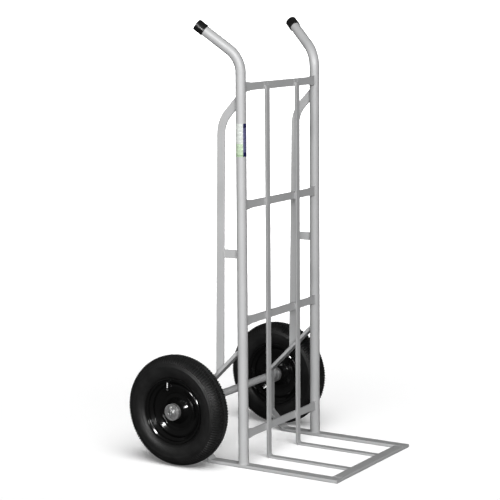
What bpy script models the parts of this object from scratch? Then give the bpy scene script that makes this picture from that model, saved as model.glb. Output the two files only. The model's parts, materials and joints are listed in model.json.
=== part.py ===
"""Hand truck: a welded frame of round tube and flat bar on two pneumatic wheels.

Metres, +Z up. The load side faces -Y, the handles lean back towards +Y and the axle lies along X.
The origin is on the floor, under the middle of the truck's bounding box. Inside the script, y = 0
is the plane of the two uprights' axes, and the parent empty moves the whole truck to its origin.
"""
import math

import bmesh
import bpy
from mathutils import Matrix, Vector

# Shared clearances
GAP = 0.0003                  # between pieces that are welded, seated or pressed together
PLAY = 0.0006                 # between pieces that turn past each other

# Uprights: round tube, bent back and outwards into the handles
TUBE_DIAMETER = 0.032
TUBE_WALL = 0.002
TUBE_SPACING = 0.447          # between the two uprights' axes
BEND_HEIGHT = 1.262           # where the upright's axis would meet the handle's axis
BEND_RADIUS = 0.090
HANDLE_LENGTH = 0.163         # from that meeting point to the tube's end
HANDLE_RISE = math.radians(37.7)
HANDLE_SPLAY = math.radians(24.5)
TUBE_SIDES = 16

# Plastic end caps
CAP_LENGTH = 0.0315
CAP_WALL = 0.0018
CAP_FLOOR = 0.0040

# Side bars: one flat bar each, bent into toe rail, axle post and diagonal
BAR_WIDTH = 0.035
BAR_THICKNESS = 0.010
BAR_CHAMFER = 0.0008
RAIL_CHAMFER = 0.0015          # on the thicker bar of the toe and the side bars
TOE_LENGTH = 0.340            # from the uprights' axes to the toe's front edge
HEEL_LENGTH = 0.114           # from the uprights' axes back to the floor bend
HEEL_BEND_RADIUS = 0.014
POST_BEND_RADIUS = 0.016
POST_OFFSET = 0.171           # from the uprights' axes back to the middle of the axle post
POST_RISE = 0.0287            # from the axle's height up to the post's upper bend
FRONT_BAR_DEPTH = 0.035

# Crossbars between the uprights, with spread ends where they are welded
CROSSBAR_COUNT = 4
CROSSBAR_LOW = 0.102          # height of the lowest crossbar's middle
CROSSBAR_DROP = 0.086         # from the handle's bend down to the highest crossbar's middle
CROSSBAR_HEIGHT = 0.0235
CROSSBAR_THICKNESS = 0.006
FLARE_HEIGHT = 0.007          # how much taller a crossbar is at the tube
FLARE_LENGTH = 0.040
FLARE_STEPS = 4

# Slats: flat bars down the front, bent forwards along the floor
SLAT_WIDTH = 0.021
SLAT_THICKNESS = 0.007
SLAT_SPACING = 0.1816
SLAT_BEND_RADIUS = 0.0105

# Rear braces and their short spacers, set edge on
BRACE_WIDTH = 0.0270
BRACE_THICKNESS = 0.006
BRACE_BEND_OFFSET = 0.0712    # from the upright's axis back to the brace's bend
BRACE_DROP = 0.192            # from the handle's bend down to the brace's bend
BRACE_BEND_RADIUS = 0.100
BRACE_TOP_ANGLE = math.radians(46.5)
BRACE_LEAN = math.radians(0.90)
SPACER_HEIGHT = 0.666
SPACER_WIDTH = 0.026

# Label wrapped on the left upright
LABEL_DROP = 0.295            # from the handle's bend down to the label's lower edge
LABEL_LENGTH = 0.100
LABEL_THICKNESS = 0.0002
LABEL_START = math.radians(140.0)
LABEL_SWEEP = math.radians(215.0)
LABEL_STEPS = 14

# Wheels and axle
TYRE_RADIUS = 0.1745          # also the height of the axle
TYRE_WIDTH = 0.085
SIDEWALL = 0.006
CROWN = 0.009
HUB_STANDOFF = 0.0251         # from a side bar's outer face to the hub
AXLE_TUBE_DIAMETER = 0.025
AXLE_DIAMETER = 0.020
AXLE_BORE = 0.013
AXLE_STUB = 0.0091            # how far the axle stands out of the hub
HUB_LENGTH = 0.0748
HUB_DIAMETER = 0.052
HUB_BORE = 0.026
BEARING_DIAMETER = 0.042
BEARING_WIDTH = 0.012
BALL_DIAMETER = 0.0062
BALL_PITCH_RADIUS = 0.0155
BALL_COUNT = 8
SHOULDER = 0.0024             # how far a race's shoulder stands from the balls' pitch circle
SEAL_THICKNESS = 0.001
WASHER_DIAMETER = 0.030
WASHER_THICKNESS = 0.0022
COTTER_DIAMETER = 0.0032
COTTER_EYE_RADIUS = 0.0034
COTTER_TAIL = 0.0055          # how far the pin reaches below the axle
COTTER_TAIL_LENGTH = 0.007    # how far its tail is bent aside
SHEET = 0.0022                # thickness of the wheel's pressed steel
RIM_LIP = 0.1024              # radius of the middle of the sheet at the rim's rolled lip
BEAD_SEAT = 0.0946            # radius of the middle of the sheet under the tyre's beads
RIM_WELL = 0.0860             # radius of the middle of the sheet in the rim's well
RIM_HALF_WIDTH = 0.0322
LIP_ROLL = 0.0018             # how far the rim's edge rolls back in from the lip
LIP_WIDTH = 0.0024
FLANGE_DEPTH = 0.0050         # from the rim's edge in to the foot of its flange
FLANGE_FOOT = 0.0012          # how far the flange's foot stands out of the bead seat
SEAT_DEPTH = 0.0115           # from the rim's edge in to the end of the bead seat
WELL_DEPTH = 0.0187           # from the rim's edge in to the well
BEAD_WIDTH = 0.0045
BEAD_CHAMFER = 0.0004
BEAD_RISE = 0.002             # how far the bead's inner side stands out of the rim's lip
DISC_FLANGE = 0.010           # width of a disc's flange, from the wheel's middle plane
DISC_COLLAR = 0.025           # from the wheel's middle plane to the disc's edge on the hub
# A disc between flange and collar: distance from the middle plane, and share of the way out
DISC_SHAPE = ((0.0124, 0.902), (0.0070, 0.697), (0.0026, 0.474), (0.0046, 0.278), (0.0150, 0.100))
TYRE_START = math.radians(-38.0)      # where the tyre's round casing starts, below its widest line
INNER_TUBE_WALL = 0.0025
INNER_TUBE_BELLY = 0.42       # share of the inner tube's width that is flat towards the rim
VALVE_BACK = math.radians(18.0)
VALVE_LEAN = math.radians(24.7)
VALVE_SIDE = 0.01976          # from the wheel's middle plane out to the valve, at the rim's well
VALVE_FOOT = 0.0075           # how far the valve's stem reaches into the inner tube
VALVE_REACH = 0.0105          # how far the stem stands in from the rim's well
VALVE_DIAMETER = 0.007
VALVE_CAP_DIAMETER = 0.0084
VALVE_CAP_LENGTH = 0.009
WHEEL_SIDES = 24
BEARING_SIDES = 16
TYRE_STEPS = 8
PIN_SIDES = 10

TUBE_RADIUS = TUBE_DIAMETER / 2
HALF_SPACING = TUBE_SPACING / 2
AXLE_HEIGHT = TYRE_RADIUS
DIAGONAL_TOP = POST_OFFSET + AXLE_HEIGHT + POST_RISE     # y + z along the 45 degree diagonal
CROSSBAR_PITCH = (BEND_HEIGHT - CROSSBAR_DROP - CROSSBAR_LOW) / (CROSSBAR_COUNT - 1)
BRACE_BEND_HEIGHT = BEND_HEIGHT - BRACE_DROP
LABEL_LOW = BEND_HEIGHT - LABEL_DROP
TYRE_SECTION_HEIGHT = (TYRE_RADIUS - (BEAD_SEAT - SHEET / 2)) / 2
AXLE_OFFSET = POST_OFFSET + BAR_THICKNESS / 2 + GAP + AXLE_TUBE_DIAMETER / 2
HUB_HALF = HUB_LENGTH / 2
HALF_TRACK = HALF_SPACING + BAR_WIDTH / 2 + HUB_STANDOFF + HUB_HALF
AXLE_TIP = HALF_TRACK + HUB_HALF + AXLE_STUB
SIDES = (("left", -1.0), ("right", 1.0))
X_AXIS = Vector((1.0, 0.0, 0.0))
Y_AXIS = Vector((0.0, 1.0, 0.0))
Z_AXIS = Vector((0.0, 0.0, 1.0))

PAINT = ("silver_paint", (0.55, 0.55, 0.56), 0.42, 0.35)
ZINC = ("zinc_plate", (0.45, 0.46, 0.47), 0.38, 0.90)
BLACK_STEEL = ("black_enamel", (0.010, 0.010, 0.011), 0.16, 0.0)
RUBBER = ("tyre_rubber", (0.020, 0.020, 0.021), 0.72, 0.0)
BUTYL = ("butyl_rubber", (0.012, 0.012, 0.012), 0.60, 0.0)
PLASTIC = ("black_plastic", (0.012, 0.012, 0.013), 0.28, 0.0)
BRIGHT = ("bearing_steel", (0.62, 0.62, 0.63), 0.22, 1.0)
PAPER = ("label_film", (0.82, 0.86, 0.82), 0.35, 0.0)


# ---- Scene helpers ----

def clear_scene():
    for item in list(bpy.data.objects):
        bpy.data.objects.remove(item, do_unlink=True)


def get_material(look):
    name, colour, roughness, metallic = look
    material = bpy.data.materials.get(name)
    if material is None:
        material = bpy.data.materials.new(name)
        material.use_nodes = True
        shader = material.node_tree.nodes["Principled BSDF"]
        shader.inputs["Base Color"].default_value = (*colour, 1.0)
        shader.inputs["Roughness"].default_value = roughness
        shader.inputs["Metallic"].default_value = metallic
    return material


def add_empty(name, location, parent=None):
    empty = bpy.data.objects.new(name, None)
    empty.location = location
    empty.parent = parent
    bpy.context.scene.collection.objects.link(empty)
    return empty


def add_piece(name, mesh_data, look, parent, location=(0.0, 0.0, 0.0)):
    """Make a named object from a bmesh, with faces pointing out and round parts shaded smooth."""
    bmesh.ops.recalc_face_normals(mesh_data, faces=mesh_data.faces)
    mesh = bpy.data.meshes.new(name)
    mesh_data.to_mesh(mesh)
    mesh_data.free()
    mesh.shade_smooth()
    mesh.set_sharp_from_angle(angle=math.radians(35.0))
    mesh.materials.append(get_material(look))
    piece = bpy.data.objects.new(name, mesh)
    piece.parent = parent
    piece.location = location
    bpy.context.scene.collection.objects.link(piece)
    return piece


def add_cutter(name, mesh_data, parent, location=(0.0, 0.0, 0.0)):
    cutter = add_piece(name, mesh_data, PAINT, parent, location)
    cutter.hide_render = True
    cutter.display_type = "WIRE"
    return cutter


def combine(piece, other, operation):
    modifier = piece.modifiers.new(other.name, "BOOLEAN")
    modifier.operation = operation
    modifier.solver = "EXACT"
    modifier.object = other


# ---- Shape helpers ----

def circle(radius, sides):
    turns = [2.0 * math.pi * i / sides for i in range(sides)]
    return [(radius * math.cos(turn), radius * math.sin(turn)) for turn in turns]


def chamfered_rectangle(width, height, chamfer):
    x = width / 2
    y = height / 2
    corners = [(x, y - chamfer), (x - chamfer, y)]
    corners += [(-a, b) for a, b in reversed(corners)]
    return corners + [(-a, -b) for a, b in corners]


def rounded_path(corners, radii, step=math.radians(12.0)):
    """Points along straight runs joined by arcs: one radius for each inner corner."""
    path = [corners[0]]
    for before, corner, after, radius in zip(corners, corners[1:], corners[2:], radii):
        back = (before - corner).normalized()
        ahead = (after - corner).normalized()
        turn = math.pi - back.angle(ahead)
        centre = corner + (back + ahead).normalized() * (radius / math.cos(turn / 2))
        start = corner + back * (radius * math.tan(turn / 2)) - centre
        inward = (corner + ahead * (radius * math.tan(turn / 2)) - centre).normalized()
        across = (inward - start.normalized() * inward.dot(start.normalized())).normalized()
        count = max(2, math.ceil(turn / step))
        for i in range(count + 1):
            angle = turn * i / count
            path.append(centre + start * math.cos(angle) + across * (radius * math.sin(angle)))
    path.append(corners[-1])
    return path


def arc_path(centre, radius, start, sweep, count, first, second):
    """Points on an arc in the plane of two perpendicular directions."""
    turns = [start + sweep * i / count for i in range(count + 1)]
    return [centre + (first * math.cos(turn) + second * math.sin(turn)) * radius for turn in turns]


def sweep(path, side, section, hole=None, start_plane=None, end_plane=None):
    """Sweep a section along a flat path. side is the direction square to the path's plane."""
    mesh_data = bmesh.new()
    outer_rings = []
    inner_rings = []
    last = len(path) - 1
    for i, point in enumerate(path):
        arriving = (path[i] - path[i - 1]).normalized() if i > 0 else None
        leaving = (path[i + 1] - path[i]).normalized() if i < last else None
        run = ((arriving or leaving) + (leaving or arriving)).normalized()
        stretch = 1.0 / run.dot(leaving or arriving)
        across = side.cross(run) * stretch
        plane = {0: start_plane, last: end_plane}.get(i)

        def place(a, b):
            spot = side * a + across * b
            if plane is not None:
                spot -= run * (spot.dot(plane) / run.dot(plane))
            return mesh_data.verts.new(point + spot)

        outer_rings.append([place(a, b) for a, b in section])
        inner_rings.append([place(a, b) for a, b in hole or []])
    bridge_rings(mesh_data, outer_rings)
    bridge_rings(mesh_data, inner_rings)
    for end in (0, last):
        if hole:
            bridge_rings(mesh_data, [outer_rings[end], inner_rings[end]])
        else:
            mesh_data.faces.new(outer_rings[end])
    return mesh_data


def bridge_rings(mesh_data, rings):
    for ring, following in zip(rings, rings[1:]):
        for i in range(len(ring)):
            j = (i + 1) % len(ring)
            mesh_data.faces.new((ring[i], ring[j], following[j], following[i]))


def revolve(profile, sides):
    """Turn a closed profile of (x, radius) points about the X axis."""
    mesh_data = bmesh.new()
    rings = []
    for i in range(sides):
        turn = 2.0 * math.pi * i / sides
        spots = [(x, r * math.cos(turn), r * math.sin(turn)) for x, r in profile]
        rings.append([mesh_data.verts.new(spot) for spot in spots])
    bridge_rings(mesh_data, rings + rings[:1])
    bmesh.ops.remove_doubles(mesh_data, verts=mesh_data.verts, dist=1e-7)
    return mesh_data


def ring_profile(x_low, x_high, inner, outer):
    return [(x_low, outer), (x_high, outer), (x_high, inner), (x_low, inner)]


def strip_profile(line, thickness):
    """Outline of a bent sheet of even thickness from the line through its middle."""
    left = []
    right = []
    points = [Vector(point) for point in line]
    for i, point in enumerate(points):
        arriving = (points[i] - points[i - 1]).normalized() if i > 0 else None
        leaving = (points[i + 1] - points[i]).normalized() if i < len(points) - 1 else None
        run = ((arriving or leaving) + (leaving or arriving)).normalized()
        offset = Vector((-run.y, run.x)) * (thickness / 2 / run.dot(leaving or arriving))
        left.append(tuple(point + offset))
        right.append(tuple(point - offset))
    return left + right[::-1]


def rod(start, end, diameter, sides):
    run = (end - start).normalized()
    side = run.orthogonal().normalized()
    return sweep([start, end], side, circle(diameter / 2, sides))


# ---- Frame ----

def handle_directions(sign):
    """The handle's own direction, and the direction square to the plane that its tube bends in."""
    level = Vector((sign * math.sin(HANDLE_SPLAY), math.cos(HANDLE_SPLAY), 0.0))
    along = level * math.cos(HANDLE_RISE) + Z_AXIS * math.sin(HANDLE_RISE)
    return along, level.cross(Z_AXIS)


def build_upright(name, sign, root):
    along, side = handle_directions(sign)
    foot = Vector((sign * HALF_SPACING, 0.0, BAR_THICKNESS + GAP))
    bend = Vector((sign * HALF_SPACING, 0.0, BEND_HEIGHT))
    path = rounded_path([foot, bend, bend + along * HANDLE_LENGTH], [BEND_RADIUS])
    outer = circle(TUBE_RADIUS, TUBE_SIDES)
    inner = circle(TUBE_RADIUS - TUBE_WALL, TUBE_SIDES)
    add_piece("upright_" + name, sweep(path, side, outer, inner), PAINT, root)


def build_cap(name, sign, root):
    """A cup over the handle's end: its closed floor is past the tube, its skirt around it."""
    inner = TUBE_RADIUS + GAP
    outer = inner + CAP_WALL
    floor = GAP + CAP_FLOOR
    skirt = floor - CAP_LENGTH
    edge = CAP_WALL / 2
    profile = [(floor, 0.0), (floor, outer - edge), (floor - edge, outer), (skirt, outer),
               (skirt, inner), (GAP, inner), (GAP, 0.0)]
    along, side = handle_directions(sign)
    bend = Vector((sign * HALF_SPACING, 0.0, BEND_HEIGHT))
    cap = add_piece("handle_cap_" + name, revolve(profile, TUBE_SIDES), PLASTIC, root)
    cap.location = bend + along * HANDLE_LENGTH
    cap.rotation_mode = "QUATERNION"
    cap.rotation_quaternion = Matrix((along, side, along.cross(side))).transposed().to_quaternion()


def side_bar_corners(x):
    """Corners of the bar's middle line: toe rail, heel rise, axle post and diagonal."""
    floor = BAR_THICKNESS / 2
    rise = POST_OFFSET - HEEL_LENGTH
    reach = TUBE_RADIUS + GAP
    return [Vector((x, -TOE_LENGTH, floor)),
            Vector((x, HEEL_LENGTH, floor)),
            Vector((x, POST_OFFSET, floor + rise)),
            Vector((x, POST_OFFSET, DIAGONAL_TOP - POST_OFFSET)),
            Vector((x, reach, DIAGONAL_TOP - reach))]


def build_side_bar(name, sign, root):
    corners = side_bar_corners(sign * HALF_SPACING)
    path = rounded_path(corners, [HEEL_BEND_RADIUS, POST_BEND_RADIUS, POST_BEND_RADIUS])
    section = chamfered_rectangle(BAR_WIDTH, BAR_THICKNESS, RAIL_CHAMFER)
    bar = sweep(path, X_AXIS, section, end_plane=Y_AXIS)
    add_piece("side_bar_" + name, bar, PAINT, root)


def build_front_bar(root):
    reach = HALF_SPACING - BAR_WIDTH / 2 - GAP
    middle = Vector((0.0, -TOE_LENGTH + FRONT_BAR_DEPTH / 2, BAR_THICKNESS / 2))
    section = chamfered_rectangle(FRONT_BAR_DEPTH, BAR_THICKNESS, RAIL_CHAMFER)
    path = [middle - X_AXIS * reach, middle + X_AXIS * reach]
    add_piece("toe_front_bar", sweep(path, Y_AXIS, section), PAINT, root)


def crossbar_half_height(distance):
    """Half the crossbar's height at a distance from the upright's axis."""
    along = min(max((distance - TUBE_RADIUS) / FLARE_LENGTH, 0.0), 1.0)
    return (CROSSBAR_HEIGHT + FLARE_HEIGHT * (1.0 + math.cos(math.pi * along)) / 2) / 2


def build_crossbar(name, height, cutters, root):
    flare = [TUBE_RADIUS + FLARE_LENGTH * i / FLARE_STEPS for i in range(FLARE_STEPS + 1)]
    stations = [(-HALF_SPACING + distance, distance) for distance in [0.0] + flare]
    stations += [(-x, distance) for x, distance in reversed(stations)]
    front = -TUBE_RADIUS + SLAT_THICKNESS + GAP
    mesh_data = bmesh.new()
    rings = []
    for x, distance in stations:
        half = crossbar_half_height(distance)
        back = front + CROSSBAR_THICKNESS
        corners = [(x, front, height - half), (x, front, height + half),
                   (x, back, height + half), (x, back, height - half)]
        rings.append([mesh_data.verts.new(corner) for corner in corners])
    bridge_rings(mesh_data, rings)
    mesh_data.faces.new(rings[0])
    mesh_data.faces.new(rings[-1])
    bar = add_piece(name, mesh_data, PAINT, root)
    for cutter in cutters:
        combine(bar, cutter, "DIFFERENCE")


def build_slat(name, sign, root):
    x = sign * SLAT_SPACING / 2
    y = -TUBE_RADIUS + SLAT_THICKNESS / 2
    top = CROSSBAR_LOW + (CROSSBAR_COUNT - 1) * CROSSBAR_PITCH
    floor = SLAT_THICKNESS / 2
    corners = [Vector((x, y, top)), Vector((x, y, floor)),
               Vector((x, -TOE_LENGTH + FRONT_BAR_DEPTH + GAP, floor))]
    path = rounded_path(corners, [SLAT_BEND_RADIUS], step=math.radians(18.0))
    section = chamfered_rectangle(SLAT_WIDTH, SLAT_THICKNESS, BAR_CHAMFER)
    add_piece("slat_" + name, sweep(path, X_AXIS, section), PAINT, root)


def brace_offset(height):
    """Distance from the upright's axis back to the brace's middle line, below its bend."""
    return BRACE_BEND_OFFSET + (BRACE_BEND_HEIGHT - height) * math.tan(BRACE_LEAN)


def build_brace(name, sign, cutter, root):
    x = sign * HALF_SPACING
    lean = math.tan(BRACE_LEAN)
    seat = DIAGONAL_TOP + (BAR_THICKNESS / 2 + GAP) * math.sqrt(2.0)
    foot = (seat - brace_offset(0.0)) / (1.0 - lean)
    top = BRACE_BEND_HEIGHT + BRACE_BEND_OFFSET * math.tan(BRACE_TOP_ANGLE)
    corners = [Vector((x, 0.0, top)), Vector((x, BRACE_BEND_OFFSET, BRACE_BEND_HEIGHT)),
               Vector((x, seat - foot, foot))]
    path = rounded_path(corners, [BRACE_BEND_RADIUS], step=math.radians(9.0))
    section = chamfered_rectangle(BRACE_THICKNESS, BRACE_WIDTH, BAR_CHAMFER)
    diagonal_face = (Y_AXIS + Z_AXIS).normalized()
    mesh_data = sweep(path, X_AXIS, section, end_plane=diagonal_face)
    brace = add_piece("brace_" + name, mesh_data, PAINT, root)
    combine(brace, cutter, "DIFFERENCE")


def build_spacer(name, sign, cutter, root):
    x = sign * HALF_SPACING
    reach = brace_offset(SPACER_HEIGHT) - BRACE_WIDTH / 2 / math.cos(BRACE_LEAN) - GAP
    path = [Vector((x, 0.0, SPACER_HEIGHT)), Vector((x, reach, SPACER_HEIGHT))]
    section = chamfered_rectangle(BRACE_THICKNESS, SPACER_WIDTH, BAR_CHAMFER)
    brace_edge = Y_AXIS * math.cos(BRACE_LEAN) + Z_AXIS * math.sin(BRACE_LEAN)
    mesh_data = sweep(path, X_AXIS, section, end_plane=brace_edge)
    spacer = add_piece("brace_spacer_" + name, mesh_data, PAINT, root)
    combine(spacer, cutter, "DIFFERENCE")


def build_label(root):
    inner = TUBE_RADIUS + LABEL_THICKNESS
    outer = inner + LABEL_THICKNESS
    turns = [LABEL_START + LABEL_SWEEP * i / LABEL_STEPS for i in range(LABEL_STEPS + 1)]
    section = [(outer * math.cos(turn), outer * math.sin(turn)) for turn in turns]
    section += [(inner * math.cos(turn), inner * math.sin(turn)) for turn in reversed(turns)]
    low = Vector((-HALF_SPACING, 0.0, LABEL_LOW))
    mesh_data = sweep([low, low + Z_AXIS * LABEL_LENGTH], Y_AXIS, section)
    add_piece("label", mesh_data, PAPER, root)


def build_frame(root):
    cutters = {}
    for name, sign in SIDES:
        build_upright(name, sign, root)
        build_cap(name, sign, root)
        build_side_bar(name, sign, root)
        build_slat(name, sign, root)
        foot = Vector((sign * HALF_SPACING, 0.0, 0.0))
        outline = circle(TUBE_RADIUS + GAP, TUBE_SIDES)
        column = sweep([foot, foot + Z_AXIS * BEND_HEIGHT], handle_directions(sign)[1], outline)
        cutters[name] = add_cutter("cut_upright_" + name, column, root)
        build_brace(name, sign, cutters[name], root)
        build_spacer(name, sign, cutters[name], root)
    for i in range(CROSSBAR_COUNT):
        height = CROSSBAR_LOW + i * CROSSBAR_PITCH
        build_crossbar("crossbar_%d" % (i + 1), height, cutters.values(), root)
    build_front_bar(root)
    build_label(root)


# ---- Axle ----

def hub_face_to_tip():
    """Where the pieces outside a hub lie, from the truck's middle: hub face, washer, pin."""
    hub_face = HALF_TRACK + HUB_HALF
    washer = hub_face + 2 * GAP
    pin = washer + WASHER_THICKNESS + GAP + COTTER_DIAMETER / 2
    return hub_face, washer, pin


def build_cotter(name, sign, x, axle):
    """A pin with an eye on top, down through the axle, with its tail bent aside."""
    top = AXLE_DIAMETER / 2 + COTTER_DIAMETER / 2 + PLAY
    eye = Vector((sign * x, 0.0, top + COTTER_EYE_RADIUS))
    bend = COTTER_DIAMETER
    tip = -AXLE_DIAMETER / 2 - COTTER_TAIL
    tail = [Vector((sign * x, COTTER_TAIL_LENGTH, tip)), Vector((sign * x, 0.0, tip + bend)),
            Vector((sign * x, 0.0, top))]
    path = rounded_path(tail, [bend], step=math.radians(30.0))[:-1]
    path += arc_path(eye, COTTER_EYE_RADIUS, math.radians(-90.0), math.radians(290.0), 8,
                     Y_AXIS, Z_AXIS)
    section = circle(COTTER_DIAMETER / 2, 6)
    add_piece("cotter_pin_" + name, sweep(path, X_AXIS, section), ZINC, axle)


def build_axle(root):
    centre = add_empty("axle_line", (0.0, AXLE_OFFSET, AXLE_HEIGHT), root)
    hub_face, outer_washer, pin = hub_face_to_tip()
    inner_washer = HALF_TRACK - HUB_HALF - 2 * GAP - WASHER_THICKNESS
    tube_end = inner_washer - GAP
    bore = AXLE_DIAMETER / 2 + GAP
    tube = ring_profile(-tube_end, tube_end, bore, AXLE_TUBE_DIAMETER / 2)
    add_piece("axle_tube", revolve(tube, WHEEL_SIDES), PAINT, centre)
    pipe = ring_profile(-AXLE_TIP, AXLE_TIP, AXLE_BORE / 2, AXLE_DIAMETER / 2)
    axle = add_piece("axle", revolve(pipe, WHEEL_SIDES), ZINC, centre)
    for name, sign in SIDES:
        hole_middle = X_AXIS * (sign * pin)
        hole = rod(hole_middle - Z_AXIS * AXLE_DIAMETER, hole_middle + Z_AXIS * AXLE_DIAMETER,
                   COTTER_DIAMETER + 2 * GAP, PIN_SIDES)
        combine(axle, add_cutter("cut_pin_hole_" + name, hole, centre), "DIFFERENCE")
        build_cotter(name, sign, pin, centre)
        for place, start in (("inner", inner_washer), ("outer", outer_washer)):
            ends = sorted((sign * start, sign * (start + WASHER_THICKNESS)))
            washer = ring_profile(ends[0], ends[1], bore, WASHER_DIAMETER / 2)
            add_piece("washer_%s_%s" % (place, name), revolve(washer, BEARING_SIDES), ZINC, centre)
            build_inner_race(name, sign, place, centre)


# ---- Bearings: x runs outwards from the wheel's middle plane ----

def bearing_middle():
    return HUB_HALF - 2 * GAP - SEAL_THICKNESS - GAP - BEARING_WIDTH / 2


def groove(x_middle, shoulder, bottom):
    """A ball groove cut into a race, as profile points at its two shoulders and its bottom."""
    half = BALL_DIAMETER / 2 + GAP
    return [(x_middle - half, shoulder), (x_middle, bottom), (x_middle + half, shoulder)]


def build_inner_race(name, sign, place, parent):
    """The race that stays still on the axle. Its nose reaches out to the washer."""
    outwards = 1.0 if place == "outer" else -1.0
    middle = HALF_TRACK + outwards * bearing_middle()
    nose = HALF_TRACK + outwards * (HUB_HALF + GAP)
    root_end = middle - outwards * BEARING_WIDTH / 2
    shoulder = BALL_PITCH_RADIUS - SHOULDER
    bottom = BALL_PITCH_RADIUS - BALL_DIAMETER / 2 - PLAY
    low, high = sorted((root_end, nose))
    profile = [(low, AXLE_DIAMETER / 2 + GAP), (low, shoulder)]
    profile += groove(middle, shoulder, bottom)
    profile += [(high, shoulder), (high, AXLE_DIAMETER / 2 + GAP)]
    profile = [(sign * x, radius) for x, radius in profile]
    add_piece("inner_race_%s_%s" % (place, name), revolve(profile, BEARING_SIDES), BRIGHT, parent)


def build_bearing(name, place, outwards, wheel):
    """The outer race, the balls in their cage and the seal, all of which turn with the wheel."""
    middle = outwards * bearing_middle()
    outer = BEARING_DIAMETER / 2
    shoulder = BALL_PITCH_RADIUS + SHOULDER
    bottom = BALL_PITCH_RADIUS + BALL_DIAMETER / 2 + PLAY
    low = middle - BEARING_WIDTH / 2
    high = middle + BEARING_WIDTH / 2
    profile = [(low, outer), (low, shoulder)] + groove(middle, shoulder, bottom)
    profile += [(high, shoulder), (high, outer)]
    add_piece("outer_race_%s_%s" % (place, name), revolve(profile, BEARING_SIDES), BRIGHT, wheel)

    balls = bmesh.new()
    for i in range(BALL_COUNT):
        turn = 2.0 * math.pi * i / BALL_COUNT
        spot = Vector((middle, math.cos(turn) * BALL_PITCH_RADIUS, math.sin(turn) * BALL_PITCH_RADIUS))
        ball = bmesh.ops.create_icosphere(balls, subdivisions=1, radius=BALL_DIAMETER / 2)
        bmesh.ops.translate(balls, verts=ball["verts"], vec=spot)
    half_cage = BALL_DIAMETER / 4
    cage = ring_profile(middle - half_cage, middle + half_cage,
                        BALL_PITCH_RADIUS - 2 * GAP, BALL_PITCH_RADIUS + 2 * GAP)
    ring = add_piece("ball_cage_%s_%s" % (place, name), revolve(cage, BEARING_SIDES), BRIGHT, wheel)
    combine(ring, add_cutter("balls_%s_%s" % (place, name), balls, wheel), "UNION")

    face = outwards * (HUB_HALF - 2 * GAP)
    low, high = sorted((face, face - outwards * SEAL_THICKNESS))
    seal = ring_profile(low, high, BALL_PITCH_RADIUS - SHOULDER + PLAY, outer)
    add_piece("seal_%s_%s" % (place, name), revolve(seal, BEARING_SIDES), ZINC, wheel)


# ---- Wheels ----

def build_hub(name, wheel):
    pocket = BEARING_DIAMETER / 2 + GAP
    depth = bearing_middle() - BEARING_WIDTH / 2 - GAP
    outer = HUB_DIAMETER / 2
    half = [(HUB_HALF, outer), (HUB_HALF, pocket), (depth, pocket), (depth, HUB_BORE / 2)]
    profile = half + [(-x, radius) for x, radius in reversed(half)]
    add_piece("hub_" + name, revolve(profile, WHEEL_SIDES), ZINC, wheel)


def rim_line():
    """The middle line of the rim's sheet: rolled lip, flange, bead seat and well, both sides."""
    half = [(RIM_HALF_WIDTH, RIM_LIP - LIP_ROLL), (RIM_HALF_WIDTH - LIP_WIDTH, RIM_LIP),
            (RIM_HALF_WIDTH - FLANGE_DEPTH, BEAD_SEAT + FLANGE_FOOT),
            (RIM_HALF_WIDTH - SEAT_DEPTH, BEAD_SEAT), (RIM_HALF_WIDTH - WELL_DEPTH, RIM_WELL)]
    return half + [(-x, radius) for x, radius in reversed(half)]


def disc_line():
    """The middle line of a wheel disc: flange in the well, crest, bowl and hub collar."""
    flange = RIM_WELL - SHEET - GAP
    collar = HUB_DIAMETER / 2 + GAP + SHEET / 2
    bowl = [(x, collar + share * (flange - collar)) for x, share in DISC_SHAPE]
    return [(GAP, flange), (DISC_FLANGE, flange)] + bowl + [(DISC_COLLAR, collar)]


def tyre_ring(half_width, height, count):
    """Points round a tyre's section from its outboard shoulder over the crown to the other side."""
    middle = TYRE_RADIUS - TYRE_SECTION_HEIGHT
    turns = [TYRE_START + (math.pi - 2.0 * TYRE_START) * i / count for i in range(count + 1)]
    return [(half_width * math.cos(turn), middle + height * math.sin(turn)) for turn in turns]


def build_tyre(name, wheel):
    seat = BEAD_SEAT + SHEET / 2 + 2 * GAP
    heel = RIM_HALF_WIDTH - FLANGE_DEPTH - SHEET / 2 - 3 * GAP
    lip = RIM_LIP + SHEET / 2 + 2 * GAP
    toe = (heel - BEAD_WIDTH, lip + BEAD_RISE)
    bead = [(heel, lip), (heel, seat + BEAD_CHAMFER), (heel - BEAD_WIDTH, seat)]
    outer = tyre_ring(TYRE_WIDTH / 2, TYRE_SECTION_HEIGHT, TYRE_STEPS)
    inner = tyre_ring(TYRE_WIDTH / 2 - SIDEWALL, TYRE_SECTION_HEIGHT - CROWN, TYRE_STEPS)
    other_bead = [(-x, radius) for x, radius in bead]
    profile = bead[::-1] + outer + other_bead + [(-toe[0], toe[1])] + inner[::-1] + [toe]
    add_piece("tyre_" + name, revolve(profile, WHEEL_SIDES), RUBBER, wheel)


def tube_section(shrink):
    """The inner tube's closed section, sampled at the same angles as the tyre's inside."""
    half_width = TYRE_WIDTH / 2 - SIDEWALL - 2 * GAP - shrink
    height = TYRE_SECTION_HEIGHT - CROWN - 2 * GAP - shrink
    upper = tyre_ring(half_width, height, TYRE_STEPS)
    belly = TYRE_RADIUS - TYRE_SECTION_HEIGHT - height
    flat = half_width * INNER_TUBE_BELLY
    return upper + [(-flat, belly), (flat, belly)]


def valve_point(radius, outwards):
    """A point on the valve's line, which leans outwards as it nears the hub."""
    x = VALVE_SIDE + (RIM_WELL - radius) * math.tan(VALVE_LEAN)
    return Vector((outwards * x, radius * math.sin(VALVE_BACK), radius * math.cos(VALVE_BACK)))


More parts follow.
